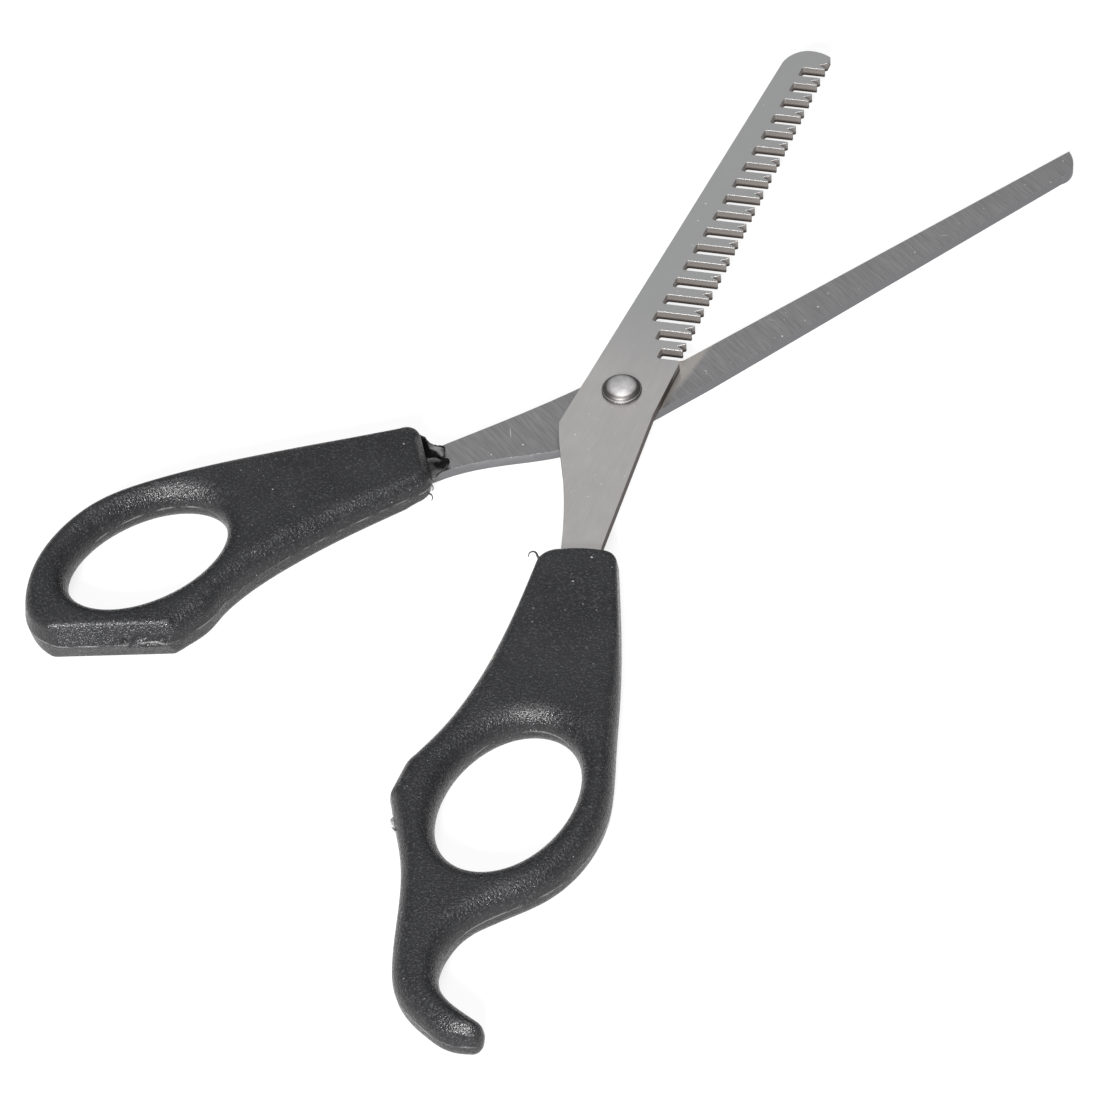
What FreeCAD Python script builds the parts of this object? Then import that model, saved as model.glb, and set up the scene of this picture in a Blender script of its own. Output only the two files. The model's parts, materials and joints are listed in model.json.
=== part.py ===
import FreeCAD, Part
import math
import os

# Thinning shears: a toothed blade and a straight blade on one rivet, each with a moulded handle.
# All lengths are millimetres. Each half is drawn in its own frame, in the closed position:
# the pivot axis is x = y = 0, the blade points along +Y and the handle lies along -Y.
# The rest pose opens the two halves evenly about +Y, lying flat on the plane z = 0.

Vec = FreeCAD.Vector
UP = Vec(0, 0, 1)

# ---- driving dimensions ----
OPEN_DEG = 31.5          # angle between the blades as the shears lie open
BLADE_T = 1.45           # sheet thickness of both blades
FACE_Z = 2.95            # height of the plane where the blades slide on each other
RIDE_GAP = 0.03          # running gap between the two sliding faces

HANDLE_T = 6.8           # handle thickness at the finger rings
MOUTH_T = 5.2            # handle thickness where the blade enters
TAPER_START_Y = -52.0    # the top and bottom faces slope together from here...
TAPER_END_Y = -26.0      # ...to here, the mouth
EDGE_R = 1.3             # rounding of the handle's outer edges
HOLE_R = 1.8             # rounding of the finger rings' inner edges
FLAT_START = (-7.0, -82.0)  # the flat end of the thumb ring runs from here...
FLAT_END = (0.7, -71.0)     # ...to here, at its parting line
FLAT_LEAN = 0.36         # how far it slants back, above and below, per mm of height

SHANK_R = 1.6            # rivet shank
SHANK_CLEAR = 0.04       # running clearance of the straight blade on the shank
HEAD_R = 2.65            # rivet head
HEAD_RIM = 0.25          # height of the head's edge
HEAD_H = 1.25            # full height of the domed head
WASHER_R = 2.6
WASHER_T = 0.4
TAIL_R = 2.1
TAIL_H = 0.6

# toothed blade
COMB_Y0 = 8.2            # upper corner of the first slot, at its root
PITCH = 3.42             # spacing of the teeth along the blade
SLOTS = 18
SLOT_W = 1.8
SLOT_TILT = 11.5         # the slots rise towards the tip, degrees
ROOT_X = -1.45           # line of the slot roots
SHORT_ROOTS = (1.9, 0.3)    # the two slots next to the pivot are shorter
COMB_X0 = 4.62           # line of the tooth ends, at y = 9.5
COMB_SLOPE = -0.0534     # and its lean towards the tip
SLOT_CORNER_R = 0.35
NOTCH_DEPTH = 0.95       # V groove in the end of each tooth
NOTCH_W = 1.0

# straight blade
EDGE_ROOT = (-0.65, 10.4)   # cutting edge, at the pivot end...
EDGE_TIP = (-1.05, 75.5)    # ...and at the tip
BEVEL_W = 2.4            # ground bevel on the underside along the cutting edge
EDGE_T = 0.3             # thickness left at the cutting edge

TANG_LOCK_R = 1.5        # hole in each tang, filled by the moulded handle


# ---- small drawing helpers ----
def point(xy, z=0.0):
    return Vec(xy[0], xy[1], z)


def polyline(points):
    """Straight edges through the points."""
    return [Part.LineSegment(point(a), point(b)).toShape() for a, b in zip(points, points[1:])]


def curve(points):
    """One smooth edge through the points."""
    spline = Part.BSplineCurve()
    spline.interpolate([point(p) for p in points])
    return spline.toShape()


def arc(a, b, c):
    """A circular edge from a through b to c."""
    return Part.Arc(point(a), point(b), point(c)).toShape()


def plate(edges, low, high):
    """The solid between two heights whose outline is the closed run of edges."""
    face = Part.Face(Part.Wire(Part.__sortEdges__(edges)))
    face.translate(Vec(0, 0, low))
    return face.extrude(Vec(0, 0, high - low))


def prism(points, low, high):
    return plate(polyline(list(points) + [points[0]]), low, high)


def turned(profile):
    """A solid of revolution about the pivot from (radius, height) points."""
    corners = [Vec(r, 0, z) for r, z in profile]
    face = Part.Face(Part.makePolygon(corners + [corners[0]]))
    return face.revolve(Vec(0, 0, 0), UP, 360)


def disc(radius, low, high, centre=(0, 0)):
    return Part.makeCylinder(radius, high - low, point(centre, low), UP)


def comb_x(y):
    """Where the tooth ends lie at a distance y from the pivot."""
    return COMB_X0 + COMB_SLOPE * (y - 9.5)


# ---- blades ----
def slot(index):
    """One slot between two teeth, with rounded root corners, as a cutting solid."""
    root_x = SHORT_ROOTS[index] if index < len(SHORT_ROOTS) else ROOT_X
    tilt = math.radians(SLOT_TILT)
    along = Vec(math.cos(tilt), math.sin(tilt), 0)
    upper = Vec(root_x, COMB_Y0 + PITCH * index + (root_x - ROOT_X) * math.tan(tilt), 0)
    lower = upper - Vec(0, SLOT_W / math.cos(tilt), 0)
    reach = along * 12
    tool = plate(polyline([upper, upper + reach, lower + reach, lower, upper]),
                 FACE_Z - 1, FACE_Z + BLADE_T + 1)
    corners = [e for e in tool.Edges if abs(e.tangentAt(e.FirstParameter).z) > 0.99
               and abs(e.Vertexes[0].X - root_x) < 0.01]
    return tool.makeFillet(SLOT_CORNER_R, corners)


def tooth_notch(index):
    """The V groove in the end of the tooth that lies above slot `index`."""
    tilt = math.radians(SLOT_TILT)
    tooth_w = PITCH * math.cos(tilt) - SLOT_W
    along = Vec(math.cos(tilt), math.sin(tilt), 0)
    across = Vec(-math.sin(tilt), math.cos(tilt), 0)
    root = Vec(ROOT_X, COMB_Y0 + PITCH * index, 0) + across * (tooth_w / 2)
    reach = (comb_x(root.y) - root.x) / (along.x - COMB_SLOPE * along.y)
    end = root + along * reach
    apex = end - along * NOTCH_DEPTH
    half = across * (NOTCH_W / 2)
    past = (end - apex) * 0.6
    wide = half * 1.6
    return prism([apex, end + past + wide, end + past - wide], FACE_Z - 1, FACE_Z + BLADE_T + 1)


def toothed_blade():
    """The upper blade: comb, pivot eye, shank and the tang inside the finger handle."""
    shoulder = (-5.35, -8.4)
    spine_end = (-4.5, 66.4)
    tip_corner = (comb_x(69.6), 69.6)
    edges = polyline([shoulder, spine_end])
    edges.append(curve([spine_end, (-3.8, 68.3), (-2.4, 69.6), (-0.5, 70.0), tip_corner]))
    edges += polyline([tip_corner, (comb_x(7.9), 7.9), (5.15, 7.2), (5.6, -2.5), (8.7, -26.0),
                       (12.7, -46.5), (9.3, -47.5), (4.0, -28.4)])
    edges.append(curve([(4.0, -28.4), (2.0, -23.2), (-0.8, -17.2), (-3.6, -12.1), shoulder]))
    blade = plate(edges, FACE_Z, FACE_Z + BLADE_T)
    cuts = [slot(i) for i in range(SLOTS)] + [tooth_notch(i) for i in range(SLOTS)]
    cuts.append(disc(SHANK_R, 0, 10))
    cuts.append(disc(TANG_LOCK_R, 0, 10, (9.3, -40.0)))
    return blade.cut(Part.makeCompound(cuts))


def straight_blade():
    """The lower blade: cutting edge, back, shank and the tang inside the thumb handle."""
    top = FACE_Z - RIDE_GAP
    low = top - BLADE_T
    edges = [curve([EDGE_TIP, (0.9, 74.7), (2.1, 73.4), (2.3, 71.6)])]
    edges += polyline([(2.3, 71.6), (4.75, 11.0), (4.85, 3.0)])
    edges.append(curve([(4.85, 3.0), (4.4, -4.5), (2.7, -12.0), (-0.2, -18.0), (-3.4, -27.0)]))
    edges += polyline([(-3.4, -27.0), (-7.0, -46.0), (-10.6, -45.5), (-7.6, -26.0)])
    edges.append(curve([(-7.6, -26.0), (-6.4, -17.5), (-5.3, -8.5), (-4.7, 1.5)]))
    edges += polyline([(-4.7, 1.5), EDGE_ROOT, EDGE_TIP])
    blade = plate(edges, low, top)
    lean = (EDGE_TIP[0] - EDGE_ROOT[0]) / (EDGE_TIP[1] - EDGE_ROOT[1])
    section = [(-1, low - 1), (-1, top - EDGE_T), (0, top - EDGE_T),
               (BEVEL_W, low), (BEVEL_W, low - 1)]
    corners = [Vec(EDGE_ROOT[0] + x, EDGE_ROOT[1] + 1, z) for x, z in section]
    bevel = Part.Face(Part.makePolygon(corners + [corners[0]])).extrude(Vec(lean * 80, 80, 0))
    lock = disc(TANG_LOCK_R, 0, 10, (-7.9, -39.0))
    return blade.cut(Part.makeCompound([bevel, disc(SHANK_R + SHANK_CLEAR, 0, 10), lock]))


# ---- pivot ----
def pivot_rivet():
    """Domed head on the toothed blade, shank through both blades, peened tail."""
    seat = FACE_Z + BLADE_T
    washer_low = FACE_Z - RIDE_GAP - BLADE_T - RIDE_GAP - WASHER_T
    dome_r = (HEAD_R ** 2 + (HEAD_H - HEAD_RIM) ** 2) / (2 * (HEAD_H - HEAD_RIM))
    ball = Part.makeSphere(dome_r, Vec(0, 0, seat + HEAD_H - dome_r))
    head = disc(HEAD_R, seat, seat + HEAD_RIM)
    head = head.fuse(ball.common(disc(HEAD_R, seat + HEAD_RIM, seat + HEAD_H + 1)))
    shank = disc(SHANK_R, washer_low, seat)
    tail = turned([(0, washer_low), (TAIL_R, washer_low), (TAIL_R - 0.1, washer_low - 0.3),
                   (TAIL_R - 0.6, washer_low - TAIL_H), (0, washer_low - TAIL_H)])
    return head.fuse([shank, tail]).removeSplitter()


def pivot_washer():
    """The washer that the straight blade turns against, under the peened tail."""
    high = FACE_Z - RIDE_GAP - BLADE_T - RIDE_GAP
    ring = disc(WASHER_R, high - WASHER_T, high)
    return ring.cut(disc(SHANK_R + SHANK_CLEAR, 0, 10))


# ---- handles ----
def ring_hole(centre, half_width, half_length, tilt_deg):
    """An oval finger hole as a cutting solid."""
    oval = Part.Ellipse(Vec(0, 0, 0), half_length, half_width).toShape()
    tool = Part.Face(Part.Wire([oval])).extrude(Vec(0, 0, HANDLE_T + 2))
    tool.rotate(Vec(0, 0, 0), UP, 90 + tilt_deg)
    tool.translate(point(centre, -1))
    return tool


def neck_slopes():
    """The two wedges taken off the top and bottom of a handle between its ring and mouth."""
    far_y = TAPER_END_Y + 10
    depth = (HANDLE_T - MOUTH_T) / 2 * (far_y - TAPER_START_Y) / (TAPER_END_Y - TAPER_START_Y)
    wedges = []
    for flat, inward in ((0, 1), (HANDLE_T, -1)):
        corners = [Vec(-40, TAPER_START_Y, flat), Vec(-40, far_y, flat - inward),
                   Vec(-40, far_y, flat + inward * depth)]
        face = Part.Face(Part.makePolygon(corners + [corners[0]]))
        wedges.append(face.extrude(Vec(80, 0, 0)))
    return Part.makeCompound(wedges)


def outline_edges(solid):
    """The edges round the top and bottom faces, without the crease where the slope begins."""
    def is_crease(edge):
        return all(abs(v.Y - TAPER_START_Y) < 0.01 for v in edge.Vertexes)
    return [e for e in solid.Edges
            if abs(e.Vertexes[0].Z - e.Vertexes[-1].Z) < MOUTH_T / 2 and not is_crease(e)]


def finger_handle():
    """The handle on the toothed blade: finger ring, bumper and hooked finger rest."""
    edges = [arc((2.1, -32.0), (2.9, -30.1), (4.4, -29.1)),
             arc((4.4, -29.1), (6.8, -28.1), (9.4, -27.5)),
             arc((9.4, -27.5), (11.0, -27.7), (12.0, -28.8))]
    edges.append(curve([(12.0, -28.8), (15.5, -35.6), (20.8, -47.8), (24.3, -57.1), (27.1, -65.4),
                        (27.4, -72.1), (25.1, -79.0), (20.6, -84.7), (18.0, -89.0), (17.6, -93.6),
                        (19.7, -97.8), (23.2, -99.6), (25.8, -100.5)]))
    edges.append(arc((25.8, -100.5), (27.0, -102.0), (25.4, -103.5)))
    edges.append(curve([(25.4, -103.5), (22.6, -103.6), (19.9, -103.0), (14.6, -100.0),
                        (11.9, -95.4), (9.1, -87.7), (6.0, -80.9), (2.8, -76.0), (0.9, -72.7),
                        (0.6, -70.0), (1.0, -66.5), (2.4, -62.3), (3.3, -55.6), (3.4, -47.5),
                        (2.9, -38.9), (2.1, -32.0)]))
    return edges, ring_hole((14.7, -68.2), 8.2, 12.2, 0.5)


def thumb_handle():
    """The handle on the straight blade: thumb ring with a flat end and a bumper corner."""
    edges = polyline([(-2.4, -28.4), (-9.1, -25.8)])
    edges.append(arc((-9.1, -25.8), (-10.45, -26.1), (-11.4, -27.5)))
    edges.append(curve([(-11.4, -27.5), (-13.0, -31.4), (-16.6, -40.0), (-20.2, -50.0),
                        (-22.95, -58.0), (-24.25, -65.5), (-23.0, -72.6), (-20.3, -77.7),
                        (-16.4, -81.6), (-12.4, -83.6), (-9.4, -83.5), FLAT_START]))
    edges += polyline([FLAT_START, FLAT_END])
    edges.append(arc(FLAT_END, (1.0, -69.5), (0.8, -67.8)))
    edges.append(curve([(0.8, -67.8), (0.5, -65.7), (-0.2, -63.6), (-0.95, -61.8), (-1.6, -59.6),
                        (-2.2, -55.8), (-2.5, -48.5), (-2.2, -39.7), (-1.6, -31.4)]))
    edges.append(arc((-1.6, -31.4), (-1.65, -29.5), (-2.4, -28.4)))
    return edges, ring_hole((-13.0, -65.2), 7.7, 11.55, 6.0)


def flat_end_slants():
    """The two wedges taken off the flat end, above and below its parting line."""
    start, end = point(FLAT_START, HANDLE_T / 2), point(FLAT_END, HANDLE_T / 2)
    along = (end - start).normalize()
    outward = Vec(along.y, -along.x, 0)
    clear = 5.0          # well beyond the handle's faces
    spare = 4.0          # past the start of the flat
    overrun = 2.0        # past its end
    wedges = []
    for side in (1, -1):
        above = start + UP * clear * side
        corners = [start, above - outward * clear * FLAT_LEAN, above + outward * clear,
                   start + outward * clear]
        face = Part.Face(Part.makePolygon(corners + [corners[0]]))
        face.translate(along * -spare)
        wedges.append(face.extrude(along * ((end - start).Length + spare + overrun)))
    return Part.makeCompound(wedges)


def handle(outline_and_hole, tang):
    """Extrude, taper, pierce and round one handle, and leave the pocket its tang fills."""
    outline, hole = outline_and_hole
    body = plate(outline, 0, HANDLE_T).cut(neck_slopes())
    body = body.makeFillet(EDGE_R, outline_edges(body))
    body = body.cut(hole)
    around_hole = hole.BoundBox
    around_hole.enlarge(0.5)
    rims = [e for e in body.Edges if around_hole.isInside(e.BoundBox) and e.Length > 30]
    body = body.makeFillet(HOLE_R, rims)
    return body.cut(tang)


# ---- assembly ----
def export_all():
    toothed = toothed_blade()
    straight = straight_blade()
    finger_half = {"toothed_blade": toothed,
                   "finger_handle": handle(finger_handle(), toothed),
                   "pivot_rivet": pivot_rivet(),
                   "pivot_washer": pivot_washer()}
    thumb_half = {"straight_blade": straight,
                  "thumb_handle": handle(thumb_handle(), straight).cut(flat_end_slants())}
    placed = {}
    for half, turn in ((finger_half, OPEN_DEG / 2), (thumb_half, -OPEN_DEG / 2)):
        for name, shape in half.items():
            shape.rotate(Vec(0, 0, 0), UP, turn)
            placed[name] = shape
    whole = Part.makeCompound(list(placed.values())).optimalBoundingBox()
    os.makedirs("parts", exist_ok=True)
    for name, shape in placed.items():
        shape.translate(Vec(-whole.Center.x, -whole.Center.y, 0))
        shape.exportStep("parts/" + name + ".step")
        print(name, shape.isValid(), len(shape.Solids), round(shape.Volume, 1), shape.BoundBox)
    print("pivot at", -whole.Center.x, -whole.Center.y, "lowest point was", whole.ZMin)


export_all()
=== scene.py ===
import itertools
import json
import math

import bmesh
import bpy
import numpy as np
from mathutils import Matrix, Vector


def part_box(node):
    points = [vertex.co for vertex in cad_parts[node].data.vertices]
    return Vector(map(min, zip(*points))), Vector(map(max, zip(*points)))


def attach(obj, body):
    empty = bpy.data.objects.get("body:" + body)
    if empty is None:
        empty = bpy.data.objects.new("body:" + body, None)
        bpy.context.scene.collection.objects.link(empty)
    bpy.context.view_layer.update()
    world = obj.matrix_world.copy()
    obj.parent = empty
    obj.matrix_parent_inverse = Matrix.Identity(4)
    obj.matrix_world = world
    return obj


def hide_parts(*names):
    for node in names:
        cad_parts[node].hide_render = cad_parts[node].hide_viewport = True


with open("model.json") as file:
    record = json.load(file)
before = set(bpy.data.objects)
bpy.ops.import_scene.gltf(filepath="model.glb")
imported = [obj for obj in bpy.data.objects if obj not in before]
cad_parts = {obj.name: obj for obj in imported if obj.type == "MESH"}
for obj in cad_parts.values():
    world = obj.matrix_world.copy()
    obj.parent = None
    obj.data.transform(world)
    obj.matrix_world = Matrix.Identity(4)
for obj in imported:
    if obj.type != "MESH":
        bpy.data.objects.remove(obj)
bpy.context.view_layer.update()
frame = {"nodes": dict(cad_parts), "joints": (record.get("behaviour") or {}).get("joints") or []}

MM = 0.001
OPEN = math.radians(31.5)    # angle between the blades at rest
PIVOT = frame["joints"][0]["pos_m"]
HALF_TURN = {"finger_half": OPEN / 2, "thumb_half": -OPEN / 2}
SEAT_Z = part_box("toothed_blade")[1].z / MM      # top face of the toothed blade, under the rivet's head
HANDLE_HALF = 3.4        # half the handles' thickness at the finger rings
MID_Z = HANDLE_HALF      # height of the handles' parting line
MOUTH_DROP = 0.8         # how much each face falls towards the mouth
TAPER_START_Y = -54      # where the faces begin to fall...
TAPER_LENGTH = 27        # ...and over what length
GRID = 0.25              # resolution of the handle surfaces


def to_row(body):
    """From a half's own frame, in millimetres, to the row frame."""
    turn = Matrix.Rotation(HALF_TURN[body], 4, "Z")
    return Matrix.Translation((PIVOT[0], PIVOT[1], 0)) @ turn @ Matrix.Scale(MM, 4)


def mesh_piece(name, points, faces, body, material):
    """A new piece from points in a half's own frame."""
    mesh = bpy.data.meshes.new(name)
    mesh.from_pydata([tuple(p) for p in points], [], [tuple(f) for f in faces])
    mesh.transform(to_row(body))
    mesh.update()
    piece = bpy.data.objects.new(name, mesh)
    bpy.context.scene.collection.objects.link(piece)
    mesh.shade_smooth()
    mesh.materials.append(material)
    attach(piece, body)
    return piece


# ---- outlines ----
def spline(points, step=0.3):
    """A natural cubic spline through the points."""
    p = np.array(points, float)
    gaps = np.hypot(*np.diff(p, axis=0).T)
    t = np.concatenate([[0], np.cumsum(gaps)])
    n = len(p)
    a = np.eye(n)
    rhs = np.zeros((n, 2))
    for i in range(1, n - 1):
        a[i, i - 1:i + 2] = gaps[i - 1], 2 * (gaps[i - 1] + gaps[i]), gaps[i]
        rhs[i] = 6 * ((p[i + 1] - p[i]) / gaps[i] - (p[i] - p[i - 1]) / gaps[i - 1])
    m = np.linalg.solve(a, rhs)
    s = np.linspace(0, t[-1], max(2, int(t[-1] / step)))
    k = np.clip(np.searchsorted(t, s, side="right") - 1, 0, n - 2)
    u = (s - t[k])[:, None]
    h = gaps[k][:, None]
    slope = (p[k + 1] - p[k]) / h - h * (2 * m[k] + m[k + 1]) / 6
    return p[k] + slope * u + m[k] * u ** 2 / 2 + (m[k + 1] - m[k]) * u ** 3 / (6 * h)


def arc(a, b, c, step=0.3):
    """A circular arc from a through b to c."""
    (ax, ay), (bx, by), (cx, cy) = a, b, c
    d = 2 * (ax * (by - cy) + bx * (cy - ay) + cx * (ay - by))
    aa, bb, cc = ax * ax + ay * ay, bx * bx + by * by, cx * cx + cy * cy
    x = (aa * (by - cy) + bb * (cy - ay) + cc * (ay - by)) / d
    y = (aa * (cx - bx) + bb * (ax - cx) + cc * (bx - ax)) / d
    r = math.hypot(ax - x, ay - y)
    start, mid, end = (math.atan2(q - y, p - x) for p, q in (a, b, c))
    sweep = (end - start) % (2 * math.pi)
    if (mid - start) % (2 * math.pi) > sweep:
        sweep -= 2 * math.pi
    angles = start + np.linspace(0, sweep, max(4, int(r * abs(sweep) / step)))
    return np.column_stack([x + r * np.cos(angles), y + r * np.sin(angles)])


def loop(*runs):
    """Joins runs of points into one closed outline."""
    points = np.concatenate([np.array(r, float) for r in runs])
    keep = np.hypot(*(points - np.roll(points, 1, axis=0)).T) > 1e-4
    return points[keep]


def oval(centre, half_width, half_length, tilt_deg):
    """An ellipse, long along Y before it is tilted."""
    a = np.linspace(0, 2 * math.pi, 240, endpoint=False)
    t = math.radians(tilt_deg)
    x, y = half_width * np.cos(a), half_length * np.sin(a)
    return np.column_stack([centre[0] + x * math.cos(t) - y * math.sin(t),
                            centre[1] + x * math.sin(t) + y * math.cos(t)])


FINGER_OUTLINE = loop(
    arc((2.1, -32.0), (2.9, -30.1), (4.4, -29.1)),
    arc((4.4, -29.1), (6.8, -28.0), (9.5, -27.3)),
    arc((9.5, -27.3), (11.2, -27.5), (12.2, -28.7)),
    spline([(12.2, -28.7), (15.5, -35.6), (20.8, -47.8), (24.3, -57.1), (27.1, -65.4),
            (27.4, -72.1), (25.1, -79.0), (20.6, -84.7), (18.0, -89.0), (17.6, -93.6),
            (19.7, -97.8), (23.2, -99.6), (25.9, -100.4)]),
    arc((25.9, -100.4), (27.0, -101.9), (25.8, -103.4)),
    spline([(25.8, -103.4), (24.0, -103.9), (22.2, -103.9), (19.8, -103.1), (14.6, -100.0),
            (11.9, -95.4), (9.1, -87.7), (6.0, -80.9), (3.4, -76.9), (1.4, -73.8)]),
    arc((1.4, -73.8), (1.0, -73.2), (0.9, -72.4)),
    [(0.9, -72.4), (0.75, -68.6)],
    arc((0.75, -68.6), (0.85, -67.7), (1.15, -66.8)),
    spline([(1.15, -66.8), (2.3, -62.6), (3.3, -55.6), (3.4, -47.5), (2.9, -38.9),
            (2.1, -32.0)]))
FINGER_HOLE = oval((14.8, -68.35), 8.1, 12.05, -1.8)

# the flat end of the thumb ring: where it runs along its parting line, which way it faces, and how
# far it slants back, above and below, for each millimetre of height
FLAT_START, FLAT_END = (-7.0, -82.0), (0.7, -71.0)
FLAT_LENGTH = math.dist(FLAT_START, FLAT_END)
FLAT_ALONG = tuple((b - a) / FLAT_LENGTH for a, b in zip(FLAT_START, FLAT_END))
FLAT_OUT = (FLAT_ALONG[1], -FLAT_ALONG[0])
FLAT_LEAN = 0.36
THUMB_OUTLINE = loop(
    [(-2.4, -28.4), (-9.1, -25.6)],
    arc((-9.1, -25.6), (-10.6, -25.9), (-11.5, -27.4)),
    spline([(-11.5, -27.4), (-13.0, -31.4), (-16.6, -40.0), (-20.45, -50.0), (-22.95, -58.0),
            (-24.25, -65.5), (-23.0, -72.6), (-20.3, -77.7), (-16.4, -81.6), (-12.4, -83.5),
            (-9.2, -83.2), FLAT_START]),
    [FLAT_START, FLAT_END],
    arc(FLAT_END, (1.1, -69.5), (1.05, -67.8)),
    spline([(1.05, -67.8), (0.9, -65.7), (0.35, -63.5), (-0.5, -61.6), (-1.25, -59.3),
            (-1.95, -55.8), (-2.4, -48.5), (-2.1, -39.7), (-1.4, -31.4)]),
    arc((-1.4, -31.4), (-1.5, -29.5), (-2.4, -28.4)))
THUMB_HOLE = oval((-12.9, -65.35), 7.55, 11.4, 4.0)


# ---- handle surfaces ----
def signed_distance(x, y, outline):
    """Distance from a closed outline at each point of a plane grid, negative inside."""
    px, py = x.ravel(), y.ravel()
    best = np.full(px.shape, 1e9)
    inside = np.zeros(px.shape, bool)
    for (ax, ay), (bx, by) in zip(outline, np.roll(outline, -1, axis=0)):
        dx, dy = bx - ax, by - ay
        t = np.clip(((px - ax) * dx + (py - ay) * dy) / (dx * dx + dy * dy), 0, 1)
        best = np.minimum(best, (px - ax - t * dx) ** 2 + (py - ay - t * dy) ** 2)
        if ay != by:
            crosses = (ay > py) != (by > py)
            inside ^= crosses & (px < ax + (py - ay) * dx / dy)
    distance = np.sqrt(best)
    distance[inside] *= -1
    return distance.reshape(x.shape)


def ease(value, start, end):
    """Smooth step from 0 at start to 1 at end."""
    t = np.clip((value - start) / (end - start), 0, 1)
    return t * t * (3 - 2 * t)


def rounded(side, height, half, radius, draft):
    """Field of a slab whose edges are rounded and whose sides lean by the draft.

    side is the plane distance to its outline, height that to its middle, half its half thickness.
    """
    qx = side + draft * height + radius
    qz = height - half + radius
    return (np.minimum(np.maximum(qx, qz), 0)
            + np.hypot(np.maximum(qx, 0), np.maximum(qz, 0)) - radius)


def blend_max(a, b, width):
    """The higher of two fields, with a soft corner where they meet."""
    h = np.clip(0.5 + 0.5 * (a - b) / width, 0, 1)
    return b + (a - b) * h + width * h * (1 - h)


def surface(field, low, step):
    """The closed surface where the field is zero: one point in each grid cell that it crosses."""
    inside = field < 0
    cells = tuple(n - 1 for n in field.shape)
    corners = list(itertools.product((0, 1), repeat=3))
    count = sum(inside[i:cells[0] + i, j:cells[1] + j, k:cells[2] + k].astype(int)
                for i, j, k in corners)
    # the cells that the surface crosses, each with one point at the mean of its edges' crossings
    active = (count > 0) & (count < 8)
    index = np.full(cells, -1)
    index[active] = np.arange(active.sum())
    cell = np.argwhere(active)
    total = np.zeros(cell.shape)
    crossings = np.zeros(len(cell))
    for axis in range(3):
        for corner in corners:
            if corner[axis]:
                continue
            # the cell's edge from this corner along the axis
            a = np.array(corner)
            b = a.copy()
            b[axis] = 1
            fa = field[tuple((cell + a).T)]
            fb = field[tuple((cell + b).T)]
            hit = (fa < 0) != (fb < 0)
            at = a + np.outer(fa / np.where(hit, fa - fb, 1), b - a)
            total[hit] += at[hit]
            crossings += hit
    points = low + step * (cell + total / crossings[:, None])
    # one face across each grid edge that the surface crosses, joining the four cells round it
    faces = []
    for axis in range(3):
        u, v = (axis + 1) % 3, (axis + 2) % 3
        here = [slice(1, -1)] * 3
        there = [slice(1, -1)] * 3
        here[axis] = slice(0, -1)
        there[axis] = slice(1, None)
        flips = inside[tuple(here)] != inside[tuple(there)]
        at = np.argwhere(flips) + 1
        at[:, axis] -= 1
        ring = []
        for du, dv in ((0, 0), (-1, 0), (-1, -1), (0, -1)):
            back = np.zeros(3, int)
            back[u], back[v] = du, dv
            ring.append(index[tuple((at + back).T)])
        quad = np.column_stack(ring)
        outward = inside[tuple(at.T)]
        quad[~outward] = quad[~outward][:, ::-1]
        faces.append(quad)
    return points, np.concatenate(faces)


def handle_grid(outline, hole):
    """The grid round one handle, and its plane distances to the outline and the hole."""
    margin = 1.0             # round the outline
    overlap = 0.8            # above and below the faces
    low = np.append(outline.min(0) - margin, -overlap)
    high = np.append(outline.max(0) + margin, 2 * HANDLE_HALF + overlap)
    axes = [np.arange(a, b, GRID) for a, b in zip(low, high)]
    x, y = np.meshgrid(axes[0], axes[1], indexing="ij")
    out = signed_distance(x, y, outline)[:, :, None]
    ring = signed_distance(x, y, hole)[:, :, None]
    x, y, z = np.meshgrid(*axes, indexing="ij")
    return low, x, y, z, out, ring


def half_thickness(y):
    """Half the handle's thickness, which falls from the ring to the mouth."""
    return HANDLE_HALF - MOUTH_DROP * np.clip((y - TAPER_START_Y) / TAPER_LENGTH, 0, 1) ** 1.2


def finger_field():
    """The finger handle: negative inside. Each share below runs from 0 to 1 over its stretch."""
    low, x, y, z, out, ring = handle_grid(FINGER_OUTLINE, FINGER_HOLE)
    height = np.abs(z - MID_Z)
    half = half_thickness(y)
    neck = ease(y, -52, -33)
    hook = ease(-y, 84, 90)
    ring_end = ease(-y, 58, 70) * (1 - ease(-y, 86, 92))
    hook_tip = ease(x, 17, 23) * hook
    upper_edge = 2.4 - 1.6 * neck + 0.2 * hook
    lower_edge = 1.4 - 0.6 * neck + 0.4 * hook + 1.0 * ring_end + 0.6 * hook_tip
    slab = rounded(out, height, half, np.where(z > MID_Z, upper_edge, lower_edge), draft=0.12)
    bore = rounded(-ring, height, half, radius=3.0, draft=0.04)
    return low, blend_max(slab, bore, 0.8)


def mould_bevel(x, out, height, half, neck):
    """The bevel that the mould leaves along the inner edge of the thumb handle's neck."""
    slope = 0.9              # how far it runs inward for each millimetre of height
    reach = 1.35             # how far in from the outline it starts
    outer_side_x = -9        # left of here the edge has no bevel
    side = out + slope * (height - half) + reach
    bevel = np.where(x > outer_side_x, side / math.hypot(1, slope), -9)
    return bevel - 3 * (1 - neck)


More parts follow.
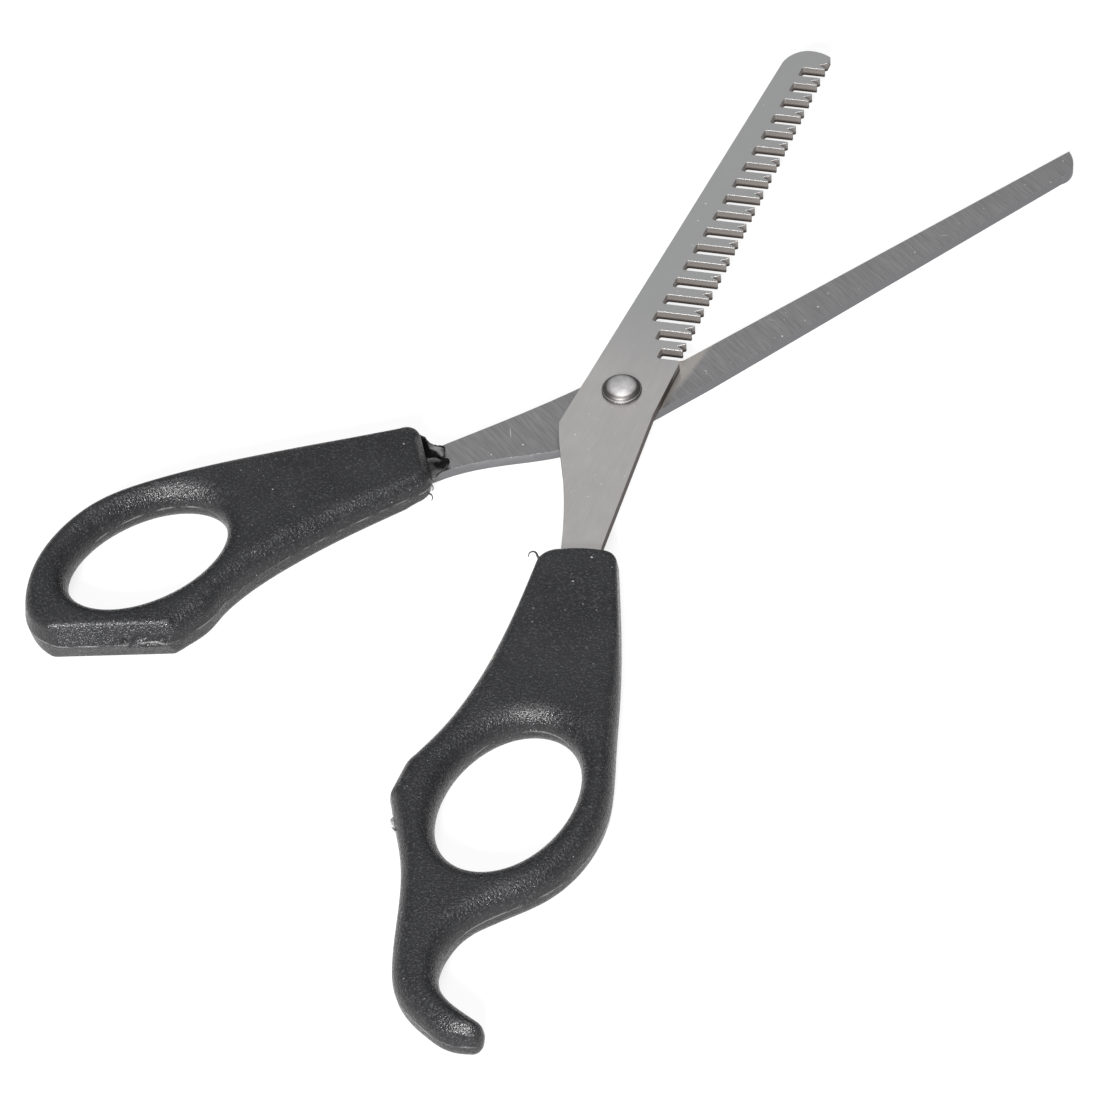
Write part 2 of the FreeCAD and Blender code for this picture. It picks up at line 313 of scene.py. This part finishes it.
def torn_pits(field, x, y, z):
    """Small pits torn in the bumper end of the flat, on and above the parting line."""
    rng = np.random.default_rng(7)
    for _ in range(22):
        s = FLAT_LENGTH - rng.uniform(0.3, 5.6)
        h = MID_Z + rng.uniform(0.0, 0.9)
        inset = FLAT_LEAN * abs(h - MID_Z)
        cx, cy = (a + s * t - inset * n for a, t, n in zip(FLAT_START, FLAT_ALONG, FLAT_OUT))
        pit = rng.uniform(0.35, 0.6) - np.sqrt((x - cx) ** 2 + (y - cy) ** 2 + (z - h) ** 2)
        field = np.maximum(field, pit)
    return field


def thumb_field():
    """The thumb handle: negative inside. Each share below runs from 0 to 1 over its stretch."""
    low, x, y, z, out, ring = handle_grid(THUMB_OUTLINE, THUMB_HOLE)
    height = np.abs(z - MID_Z)
    half = half_thickness(y)
    inner_side = ease(x, -13, -6)
    neck = ease(y, -46, -30)
    dx, dy = x - FLAT_START[0], y - FLAT_START[1]
    past_flat = dx * FLAT_OUT[0] + dy * FLAT_OUT[1]
    along = dx * FLAT_ALONG[0] + dy * FLAT_ALONG[1]
    at_flat = (ease(past_flat, -4.5, -2.5) * ease(along, -5, 0)
               * (1 - ease(along, FLAT_LENGTH, FLAT_LENGTH + 1.5)))
    upper_edge = (1.5 + 0.7 * inner_side) * (1 - neck) + (0.9 + 0.5 * inner_side) * neck
    lower_edge = 1.5 - 0.4 * neck
    radius = np.where(z > MID_Z, upper_edge, lower_edge)
    radius = radius * (1 - at_flat) + 0.35 * at_flat
    slab = rounded(out, height, half, radius, draft=0.15)
    slab = np.maximum(slab, (past_flat + FLAT_LEAN * height) / math.hypot(1, FLAT_LEAN))
    slab = np.where(neck > 0, np.maximum(slab, mould_bevel(x, out, height, half, neck)), slab)
    bore = rounded(-ring, height, half, radius=3.0, draft=0.08)
    return low, torn_pits(blend_max(slab, bore, 0.6), x, y, z)


def handle_piece(name, body, node, build, material):
    """One handle's moulded surface, in place of its CAD node."""
    low, field = build()
    points, faces = surface(field, low, GRID)
    piece = mesh_piece(name, points, faces, body, material)
    relax = piece.modifiers.new("relax", "SMOOTH")
    relax.factor = 0.5
    relax.iterations = 2
    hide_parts(node)
    return piece


# ---- materials ----
class Nodes:
    """A small helper that builds one node material."""

    def __init__(self, name):
        self.material = bpy.data.materials.new(name)
        self.material.use_nodes = True
        self.tree = self.material.node_tree
        self.shader = self.tree.nodes["Principled BSDF"]

    def add(self, kind, inputs=None, **props):
        """A new shader node with its inputs, by name, and properties set."""
        node = self.tree.nodes.new("ShaderNode" + kind)
        for key, value in props.items():
            setattr(node, key, value)
        for key, value in (inputs or {}).items():
            self.put(node.inputs[key], value)
        return node

    def facing(self):
        """1 where the surface lies flat, 0 on an upright wall."""
        return self.math("ABSOLUTE", self.split(self.add("NewGeometry").outputs["Normal"])["Z"])

    def split(self, vector):
        """The X, Y and Z outputs of a vector."""
        return self.add("SeparateXYZ", {"Vector": vector}).outputs

    def put(self, socket, value):
        """Links another node's output to the socket, or sets a plain value on it."""
        if isinstance(value, bpy.types.NodeSocket):
            self.tree.links.new(value, socket)
        else:
            socket.default_value = value

    def position(self, scale=(1, 1, 1), turn=0.0):
        """Place on the object in millimetres from the pivot, turned about Z, then stretched."""
        where = self.add("TexCoord").outputs["Object"]
        moved = self.add("Mapping", {"Vector": where, "Location": (-PIVOT[0], -PIVOT[1], 0)})
        turned = self.add("Mapping", {"Vector": moved.outputs[0], "Rotation": (0, 0, turn)})
        return self.add("Mapping", {"Vector": turned.outputs[0],
                                    "Scale": tuple(s / MM for s in scale)}).outputs[0]

    def spot(self, where, x, y, length, width, angle=0.0, soft=0.5):
        """1 on an oval mark at x, y, falling to 0 at its edge."""
        at = self.add("Mapping", {"Vector": where, "Location": (-x, -y, 0)})
        turned = self.add("Mapping", {"Vector": at.outputs[0], "Rotation": (0, 0, -angle)})
        flat = self.add("Mapping", {"Vector": turned.outputs[0],
                                    "Scale": (2 / length, 2 / width, 0)})
        far = self.add("VectorMath", {0: flat.outputs[0]}, operation="LENGTH").outputs["Value"]
        return self.fade(far, 1, 1 - soft)

    def noise(self, vector, scale, detail=3.0, rough=0.5):
        """Cloudy noise about 0.5; at scale 1 its patches are about a millimetre across."""
        node = self.add("TexNoise", {"Vector": vector, "Scale": scale, "Detail": detail,
                                     "Roughness": rough})
        return node.outputs["Fac"]

    def fade(self, value, start, end, low=0.0, high=1.0):
        """low where the value is at start or before, high at end or past, straight between."""
        return self.add("MapRange", {"Value": value, "From Min": start, "From Max": end,
                                     "To Min": low, "To Max": high}).outputs["Result"]

    def math(self, operation, a, b=0.0):
        """One step of arithmetic on one or two numbers."""
        node = self.add("Math", operation=operation)
        self.put(node.inputs[0], a)
        self.put(node.inputs[1], b)
        return node.outputs[0]

    def mix(self, factor, a, b):
        """Colour a where the factor is 0, b where it is 1."""
        node = self.add("Mix", data_type="RGBA")
        # the node has several inputs named A and B; these are its colour sockets
        self.put(node.inputs[0], factor)
        self.put(node.inputs[6], a)
        self.put(node.inputs[7], b)
        return node.outputs[2]

    def bump(self, height, distance, strength=1.0, below=None):
        """A bumped normal; the distance is in millimetres, and below is a normal under it."""
        inputs = {"Height": height, "Distance": distance * MM, "Strength": strength}
        if below is not None:
            inputs["Normal"] = below
        return self.add("Bump", inputs).outputs[0]

    def set(self, **inputs):
        """Sets the shader's inputs, with _ for the spaces in their names."""
        for key, value in inputs.items():
            self.put(self.shader.inputs[key.replace("_", " ")], value)


def parting_line(n, where):
    """1 on the thin line half way up a handle's sides, which is worn away in places."""
    off = n.math("ABSOLUTE", n.math("SUBTRACT", n.split(where)["Z"], MID_Z))
    line = n.fade(off, 0.16, 0.09)
    worn = n.fade(n.noise(where, 0.4, 2.0), 0.4, 0.6)
    return n.math("MULTIPLY", line, worn)


def plastic(name, turn, scuffs=(), shade=1.0, gloss=0.19, chipped=None):
    """Black moulded plastic with a spark-eroded grain that glitters where light grazes it.

    Each scuff is (x, y, length, width, angle, colour); chipped is a spot without its colour. shade
    darkens the whole colour, as painted shade.
    """
    n = Nodes(name)
    where = n.position(turn=turn)
    grain = n.noise(where, 3.2, 3.0, 0.6)
    cells = n.add("TexVoronoi", {"Vector": where, "Scale": 3.4}).outputs["Distance"]
    patchy = n.fade(n.noise(where, 0.35, 2.0), 0.3, 0.7, 0.55, 1.0)
    height = n.math("MULTIPLY", n.math("ADD", grain, n.math("MULTIPLY", cells, 0.6)), patchy)
    seam = parting_line(n, where)
    normal = n.bump(seam, 0.10, 0.8, n.bump(height, 0.13, 1.0))

    broad = n.fade(n.noise(where, 0.12, 3.0), 0.35, 0.65)
    tint = n.mix(broad, (0.0075 * shade, 0.0075 * shade, 0.008 * shade, 1),
                 (0.0105 * shade, 0.0105 * shade, 0.011 * shade, 1))
    peaks = n.fade(grain, 0.52, 0.72)
    tint = n.mix(peaks, tint, (0.028 * shade, 0.028 * shade, 0.030 * shade, 1))
    tint = n.mix(n.math("MULTIPLY", seam, 0.6), tint, (0.11, 0.11, 0.11, 1))
    dust = n.fade(n.noise(where, 3.3, 0.0), 0.855, 0.88)
    tint = n.mix(dust, tint, (0.14, 0.14, 0.145, 1))
    if chipped:
        flecks = n.fade(n.noise(where, 2.2, 2.0, 0.7), 0.53, 0.60)
        chips = n.math("MULTIPLY", n.spot(where, *chipped, soft=0.3), flecks)
        tint = n.mix(chips, tint, (0.075, 0.075, 0.078, 1))
    for x, y, length, width, angle, colour in scuffs:
        tint = n.mix(n.spot(where, x, y, length, width, angle), tint, colour)
    rough = n.fade(n.noise(where, 2.9, 2.0), 0.40, 0.60, 0.14, 0.36)
    n.set(Base_Color=tint, Roughness=rough, Normal=normal)
    n.shader.inputs["Specular IOR Level"].default_value = gloss
    return n.material


def duller_beyond_pivot(n, where, tint, dim):
    """The working length is ground duller than the shank."""
    beyond = n.fade(n.split(where)["Y"], 1, 15)
    return n.mix(beyond, tint, (*(c * dim for c in (0.475, 0.472, 0.470)), 1))


def unground_corner(n, where, tint, level):
    """The corner beside the pivot that the wheel missed: lighter, duller, softly bounded."""
    x, y, _ = n.split(where)
    # it starts level with the pivot and ends on a wavy line that slants across the blade
    slanting = n.math("ADD", n.math("MULTIPLY", x, 2.1), y)
    wavy = n.math("ADD", slanting, n.math("MULTIPLY", n.noise(where, 0.5, 2.0), 2.0))
    patch = n.math("MULTIPLY", n.fade(y, 0, 1), n.fade(wavy, 15.2, 13.6))
    patch = n.math("MULTIPLY", patch, n.fade(n.facing(), 0.6, 0.8))
    tint = n.mix(patch, tint, (0.37, 0.35, 0.33, 1))
    return tint, n.mix(patch, level, (0.46, 0.46, 0.46, 1))


def shaded_walls(n, where, tint, level, colour, shaded_low):
    """Upright walls take a darker colour, painted shade, and a rougher finish; their upper corners get a
    painted highlight.
    """
    facing = n.facing()
    # painted shade: the colour darkens on upright walls
    wall = n.fade(facing, 0.50, 0.30)
    tint = n.mix(wall, tint, (*colour, 1))
    level = n.mix(wall, level, (0.6, 0.6, 0.6, 1))
    if shaded_low:
        # painted shade, dark brown, low on the walls of the slots and all over the wall of the shank
        _, along, height = n.split(where)
        foot = n.fade(height, 3.6, 3.25)
        shank = n.fade(along, 6, 4)
        # painted shade: the walls darken towards their foot and along the shank
        low_shade = n.math("MULTIPLY", wall, n.math("MAXIMUM", foot, shank))
        tint = n.mix(low_shade, tint, (0.055, 0.042, 0.036, 1))
    # painted highlight: a light line on the bevels between the walls and the faces
    corner = n.math("MULTIPLY", n.fade(facing, 0.40, 0.55), n.fade(facing, 0.95, 0.85))
    return n.mix(corner, tint, (0.66, 0.65, 0.64, 1)), level


def steel(name, turn, colour, grain, streak, rough, unground=False, walls=None, dim=1.0,
          shaded_low=False, shaded_rim=False, scratches=()):
    """Ground stainless steel in a colour that varies by the share `streak` from mark to mark.

    grain squeezes the grinding marks across and along the blade. walls is the darker colour of upright
    walls, painted shade, dim how dark the working length is, and each scratch (x, y, length, width,
    angle).
    """
    n = Nodes(name)
    fine = n.noise(n.position((*grain, 1.0), turn), 1.6, 4.0, 0.65)
    wide = n.noise(n.position((grain[0] * 0.3, grain[1] * 0.3, 1.0), turn), 1.6, 3.0, 0.6)
    where = n.position(turn=turn)
    cloud = n.noise(where, 0.16, 4.0, 0.55)
    dark = tuple(c * (1 - streak) for c in colour)
    light = tuple(min(1, c * (1 + streak)) for c in colour)
    marks = n.math("ADD", n.math("MULTIPLY", fine, 0.75), n.math("MULTIPLY", wide, 0.25))
    tint = n.mix(n.fade(marks, 0.36, 0.64), (*dark, 1), (*light, 1))
    clouded = n.fade(cloud, 0.3, 0.75, 0.0, 0.4)
    tint = n.mix(clouded, tint, (*(c * 0.82 for c in colour), 1))
    if dim < 1:
        tint = duller_beyond_pivot(n, where, tint, dim)
    level = n.fade(fine, 0.25, 0.75, rough - 0.06, rough + 0.08)
    if unground:
        tint, level = unground_corner(n, where, tint, level)
    specks = n.fade(n.noise(where, 2.6, 0.0), 0.865, 0.885)
    tint = n.mix(specks, tint, (0.72, 0.71, 0.70, 1))
    # painted shade on upright walls, with a painted highlight on their bevels
    if walls:
        tint, level = shaded_walls(n, where, tint, level, walls, shaded_low)
    if shaded_rim:
        # painted shade: the steep rim of the dome is darkened, which also dims the key light's glare
        # there
        rim = n.fade(n.facing(), 0.975, 0.86, 0.0, 0.95)
        tint = n.mix(rim, tint, (0.06, 0.057, 0.055, 1))
    for x, y, length, width, angle in scratches:
        mark = n.math("MULTIPLY", n.spot(where, x, y, length, width, angle, 0.8), 0.7)
        tint = n.mix(mark, tint, (0.80, 0.79, 0.77, 1))
    n.set(Base_Color=tint, Roughness=level, Normal=n.bump(marks, 0.02, 0.5), Metallic=1.0)
    return n.material


def edge_softened(name, node, body, material, width):
    """The CAD node's own shape with its sharp edges broken by a small bevel."""
    mesh = frame["nodes"][node].data.copy()
    mesh.name = name
    mesh.materials.clear()
    mesh.materials.append(material)
    bm = bmesh.new()
    bm.from_mesh(mesh)
    # the faces of the CAD mesh are joined up first, so that only true edges take the bevel
    bmesh.ops.remove_doubles(bm, verts=bm.verts, dist=2e-6)
    bmesh.ops.dissolve_limit(bm, angle_limit=math.radians(0.6), verts=bm.verts, edges=bm.edges)
    bm.to_mesh(mesh)
    bm.free()
    piece = bpy.data.objects.new(name, mesh)
    bpy.context.scene.collection.objects.link(piece)
    bevel = piece.modifiers.new("edges", "BEVEL")
    bevel.width = width * MM
    bevel.segments = 2
    bevel.limit_method = "ANGLE"
    bevel.angle_limit = math.radians(35)
    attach(piece, body)
    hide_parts(node)
    return piece


# ---- small pieces ----
def leaf(name, root, free, height, lift, thick, body, material, seed):
    """A thin torn tongue of plastic between a root line and a ragged free edge, curling upward."""
    rng = np.random.default_rng(seed)
    across, along = 28, 9    # points along the root line, and from it to the free edge
    a, b = (spline(run, 0.05) for run in (root, free))
    pick = np.linspace(0, 1, across)
    a = a[(pick * (len(a) - 1)).astype(int)]
    b = b[(pick * (len(b) - 1)).astype(int)]
    b = b + rng.normal(0, 0.025, b.shape)
    wave = 0.25 * np.sin(pick * 9 + seed)
    points = []
    for j in range(along):
        v = j / (along - 1)
        xy = a + (b - a) * v
        z = height + lift * v ** 2.2 * (1 + wave * 2) + 0.02 * rng.normal(size=across) * v
        points += [(x, y, h) for (x, y), h in zip(xy, z)]
    top = len(points)
    points += [(x, y, z - thick) for x, y, z in points]
    faces = []
    for j in range(along - 1):
        for i in range(across - 1):
            k = j * across + i
            faces.append((k, k + 1, k + across + 1, k + across))
            faces.append((top + k, top + k + across, top + k + across + 1, top + k + 1))
    rim = [(0, i) for i in range(across)] + [(j, across - 1) for j in range(1, along)]
    rim += [(along - 1, i) for i in range(across - 2, -1, -1)]
    rim += [(j, 0) for j in range(along - 2, 0, -1)]
    ids = [j * across + i for j, i in rim]
    faces += [(k, top + k, top + m, m) for k, m in zip(ids, ids[1:] + ids[:1])]
    return mesh_piece(name, points, faces, body, material)


def thread(name, route, radius, body, material):
    """A thin hair of plastic along the route, tapering to its end."""
    path = np.array(route, float)
    plan = spline(path[:, :2], 0.08)
    rise = np.interp(np.linspace(0, 1, len(plan)), np.linspace(0, 1, len(path)), path[:, 2])
    centre = np.column_stack([plan, rise])
    ahead = np.gradient(centre, axis=0)
    ahead /= np.linalg.norm(ahead, axis=1)[:, None]
    side = np.cross(ahead, (0, 0, 1.0))
    side /= np.linalg.norm(side, axis=1)[:, None]
    over = np.cross(side, ahead)
    sides = 8
    points, faces = [], []
    for i, c in enumerate(centre):
        r = radius * (1 - 0.7 * i / len(centre))
        for k in range(sides):
            t = 2 * math.pi * k / sides
            points.append(c + r * (math.cos(t) * side[i] + math.sin(t) * over[i]))
    for i in range(len(centre) - 1):
        for k in range(sides):
            m = (k + 1) % sides
            faces.append((i * sides + k, i * sides + m, (i + 1) * sides + m, (i + 1) * sides + k))
    faces.append(tuple(range(sides))[::-1])
    faces.append(tuple((len(centre) - 1) * sides + k for k in range(sides)))
    return mesh_piece(name, points, faces, body, material)


def turned_piece(name, profile, body, material, sides=96):
    """A solid of revolution about the pivot from (radius, height) points; the ends lie on the axis."""
    points, faces = [(0, 0, profile[0][1])], []
    rings = profile[1:-1]
    for r, z in rings:
        points += [(r * math.cos(2 * math.pi * k / sides), r * math.sin(2 * math.pi * k / sides), z)
                   for k in range(sides)]
    points.append((0, 0, profile[-1][1]))
    last = len(points) - 1
    for k in range(sides):
        m = (k + 1) % sides
        faces.append((0, 1 + m, 1 + k))
        for i in range(len(rings) - 1):
            a, b = 1 + i * sides, 1 + (i + 1) * sides
            faces.append((a + k, a + m, b + m, b + k))
        faces.append((last, last - sides + k, last - sides + m))
    return mesh_piece(name, points, faces, body, material)


def rivet_and_washer(material):
    """The rivet's domed head and its shank, and the CAD washer in the same steel."""
    dome_r, dome_base, dome_rise = 2.42, 0.36, 0.87
    # from the seat up: a rounded rim, then the dome
    head = [(0, 0), (2.45, 0), (2.52, 0.05), (2.63, 0.12), (2.65, 0.2), (2.62, 0.29), (2.53, 0.345)]
    head += [(dome_r * math.cos(t), dome_base + dome_rise * math.sin(t))
             for t in np.linspace(0, math.pi / 2, 22)[:-1]]
    head.append((0, dome_base + dome_rise))
    piece = turned_piece("rivet_head", [(r, SEAT_Z + z) for r, z in head], "finger_half",
                         material)
    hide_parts("pivot_rivet")
    # from the peened tail, under the washer, up into the head
    low_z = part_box("pivot_rivet")[0].z / MM
    washer_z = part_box("pivot_washer")[0].z / MM
    top_z = SEAT_Z + 0.1
    shank = [(0, low_z), (1.35, low_z), (1.5, low_z + 0.06), (1.9, low_z + 0.25),
             (2.05, low_z + 0.45), (2.08, washer_z), (1.6, washer_z), (1.6, top_z), (0, top_z)]
    turned_piece("rivet_shank", shank, "finger_half", material)
    washer_mesh = frame["nodes"]["pivot_washer"].data
    for i in range(len(washer_mesh.materials)):
        washer_mesh.materials[i] = material


# ---- the object ----
finger_turn, thumb_turn = -HALF_TURN["finger_half"], -HALF_TURN["thumb_half"]
black_finger = plastic("black_plastic_finger", finger_turn,
                       [(4.1, -49.4, 0.9, 0.25, 1.5, (0.30, 0.27, 0.18, 1)),
                        (8.9, -29.6, 0.35, 0.25, 0.0, (0.25, 0.25, 0.25, 1)),
                        (8.4, -34.3, 0.4, 0.2, 0.4, (0.22, 0.22, 0.22, 1))])
black_thumb = plastic("black_plastic_thumb", thumb_turn, chipped=(-0.9, -74.0, 5.2, 1.5, 0.96))
# the torn flash is a darker copy of the thumb's plastic: painted shade
shaded_film = plastic("shaded_black_plastic_film", thumb_turn, shade=0.25, gloss=0.02)
pale = plastic("scuffed_plastic", finger_turn,
               [(3.2, -76.3, 9.0, 9.0, 0.0, (0.22, 0.22, 0.215, 1))])
handle_piece("finger_handle_shell", "finger_half", "finger_handle", finger_field, black_finger)
handle_piece("thumb_handle_shell", "thumb_half", "thumb_handle", thumb_field, black_thumb)

# two torn tongues of flash where the straight blade leaves its handle
leaf("torn_flash_upper", [(-10.2, -26.4), (-8.9, -26.5), (-7.0, -27.0), (-5.2, -27.5)],
     [(-10.5, -25.3), (-9.7, -24.9), (-8.6, -24.9), (-7.3, -24.6), (-6.2, -23.9), (-5.6, -24.3),
      (-5.0, -25.2), (-4.5, -26.0)],
     height=3.10, lift=0.35, thick=0.14, body="thumb_half", material=shaded_film, seed=3)
leaf("torn_flash_lower", [(-6.6, -27.1), (-5.0, -27.7), (-3.4, -28.3), (-2.6, -28.6)],
     [(-5.6, -25.9), (-4.8, -25.3), (-4.1, -24.7), (-3.5, -25.0), (-3.2, -25.6), (-2.9, -26.4),
      (-2.8, -27.0), (-2.5, -27.6)],
     height=3.30, lift=0.30, thick=0.14, body="thumb_half", material=shaded_film, seed=5)
# whiskers at the inner corner of the same mouth, each hooking outward and down
for number, (x, y, z) in enumerate([(-1.8, -29.0, 3.6), (-1.7, -29.3, 2.0)], start=1):
    thread("mouth_whisker_%d" % number,
           [(x - 0.2, y - 0.1, z), (x + 0.1, y + 0.15, z - 0.1), (x + 0.3, y + 0.1, z - 0.5),
            (x + 0.25, y - 0.1, z - 0.9)], radius=0.13, body="thumb_half", material=black_thumb)
# a curled hair at the finger handle's mouth, and a flake half torn off its bumper
thread("moulding_hair", [(2.6, -31.6, 4.4), (2.0, -31.2, 4.9), (1.6, -30.85, 5.1),
                         (1.1, -30.8, 5.1), (0.8, -31.15, 5.0), (0.9, -31.6, 4.8)],
       radius=0.19, body="finger_half", material=black_finger)
leaf("scuffed_flake", [(3.0, -75.6), (3.4, -76.2), (3.9, -76.9), (4.3, -77.5)],
     [(2.5, -75.7), (2.6, -76.3), (2.75, -76.7), (3.1, -77.1), (3.6, -77.6)],
     height=3.5, lift=0.35, thick=0.16, body="finger_half", material=pale, seed=11)

# its upright walls carry painted shade, deepest low in the slots and on the shank, and a painted
# highlight on their bevels
toothed_steel = steel("toothed_steel", finger_turn, (0.475, 0.455, 0.446), grain=(3.0, 0.16),
                      streak=0.04, rough=0.40, walls=(0.19, 0.175, 0.165), dim=0.80, shaded_low=True)
# its upright walls carry painted shade and a painted highlight on their bevels
straight_steel = steel("straight_steel", thumb_turn, (0.262, 0.256, 0.258), grain=(0.20, 4.0),
                       streak=0.20, rough=0.38, unground=True, walls=(0.15, 0.15, 0.155),
                       scratches=[(-3.7, -15.3, 2.6, 0.16, -0.55), (2.7, 11.6, 0.5, 0.22, 0.2),
                                  (0.9, 33.0, 0.35, 0.3, 0.0), (-2.0, -19.5, 0.4, 0.3, 0.0),
                                  (1.6, 52.0, 1.6, 0.10, 1.1), (0.3, 24.0, 1.3, 0.09, 0.8)])
edge_softened("comb_blade", "toothed_blade", "finger_half", toothed_steel, 0.13)
edge_softened("cutting_blade", "straight_blade", "thumb_half", straight_steel, 0.16)

# the rivet's dome carries painted shade round its rim
polished = steel("polished_steel", finger_turn, (0.50, 0.487, 0.482), grain=(0.8, 0.8),
                 streak=0.14, rough=0.50, shaded_rim=True)
rivet_and_washer(polished)


# ---- floor, light, camera ----
def area_light(name, place, size, power):
    """A rectangular lamp that faces the middle of the floor; place and size are in metres."""
    data = bpy.data.lights.new(name, "AREA")
    data.shape = "RECTANGLE"
    data.size, data.size_y = size
    data.energy = power
    light = bpy.data.objects.new(name, data)
    light.location = place
    light.rotation_euler = (-Vector(place)).to_track_quat("-Z", "Y").to_euler()
    bpy.context.scene.collection.objects.link(light)


# a white paper floor that glows a little, so that shadows on it stay faint
floor_mesh = bpy.data.meshes.new("floor")
floor_mesh.from_pydata([(-3, -3, 0), (3, -3, 0), (3, 3, 0), (-3, 3, 0)], [], [(0, 1, 2, 3)])
floor = bpy.data.objects.new("floor", floor_mesh)
bpy.context.scene.collection.objects.link(floor)
paper = Nodes("pale_paper")
paper_tone = paper.noise(paper.position(), 0.02, 2.0)
paper.set(Base_Color=paper.fade(paper_tone, 0.3, 0.7, 0.11, 0.12), Roughness=0.9)
paper.shader.inputs["Emission Color"].default_value = (1, 1, 1, 1)
paper.shader.inputs["Emission Strength"].default_value = 0.82
floor_mesh.materials.append(paper.material)

# The view is set in a frame that stands at the pivot, turned from the row frame about Z: x to the
# right as the camera sees it, y away from the camera. Lengths here are millimetres.
VIEW_TURN = math.radians(43.75)
ELEVATION = math.radians(48.0)
ROLL = math.radians(5.0)
FOCUS = 4.3636           # focal length over the sensor's width
POINT = (0, 0, 4.5)      # a point near the rivet, by which the camera is placed
DISTANCE = 631.58        # how far along the view it lies from the camera
AIM = (0.014938, 0.033438)      # how far right of and above the view's middle, over the distance
forward = Vector((0, math.cos(ELEVATION), -math.sin(ELEVATION)))
level_up = Vector((0, math.sin(ELEVATION), math.cos(ELEVATION)))
level_right = Vector((1, 0, 0))
right = math.cos(ROLL) * level_right - math.sin(ROLL) * level_up
up = math.sin(ROLL) * level_right + math.cos(ROLL) * level_up
eye = Vector(POINT) - DISTANCE * (forward + AIM[0] * right + AIM[1] * up)

view_to_row = Matrix.Translation((PIVOT[0], PIVOT[1], 0)) @ Matrix.Rotation(VIEW_TURN, 4, "Z")
camera_data = bpy.data.cameras.new("camera")
camera_data.lens = camera_data.sensor_width * FOCUS
camera_data.clip_start = 0.01
camera = bpy.data.objects.new("camera", camera_data)
axes = Matrix((right, up, -forward)).transposed().to_4x4()
camera.matrix_world = view_to_row @ Matrix.Translation(eye * MM) @ axes
bpy.context.scene.collection.objects.link(camera)
bpy.context.scene.camera = camera


def from_view(x, y, z):
    """A place given in the camera's turned frame, in metres."""
    return view_to_row @ Vector((x, y, z))


# a small low key for the glints on the plastic, one overhead, and a wide one behind the shears
# that the flat steel mirrors
area_light("key", from_view(-0.25, -0.95, 0.58), size=(0.45, 0.2), power=50)
area_light("top", from_view(0.0, -0.35, 1.3), size=(0.6, 0.45), power=17)
area_light("back", from_view(0.2, 1.3, 1.3), size=(2.0, 1.2), power=5)
world = bpy.data.worlds.new("studio")
world.use_nodes = True
world.node_tree.nodes["Background"].inputs["Color"].default_value = (0.9, 0.95, 1.0, 1)
world.node_tree.nodes["Background"].inputs["Strength"].default_value = 0.22
bpy.context.scene.world = world
bpy.context.scene.view_settings.view_transform = "Standard"
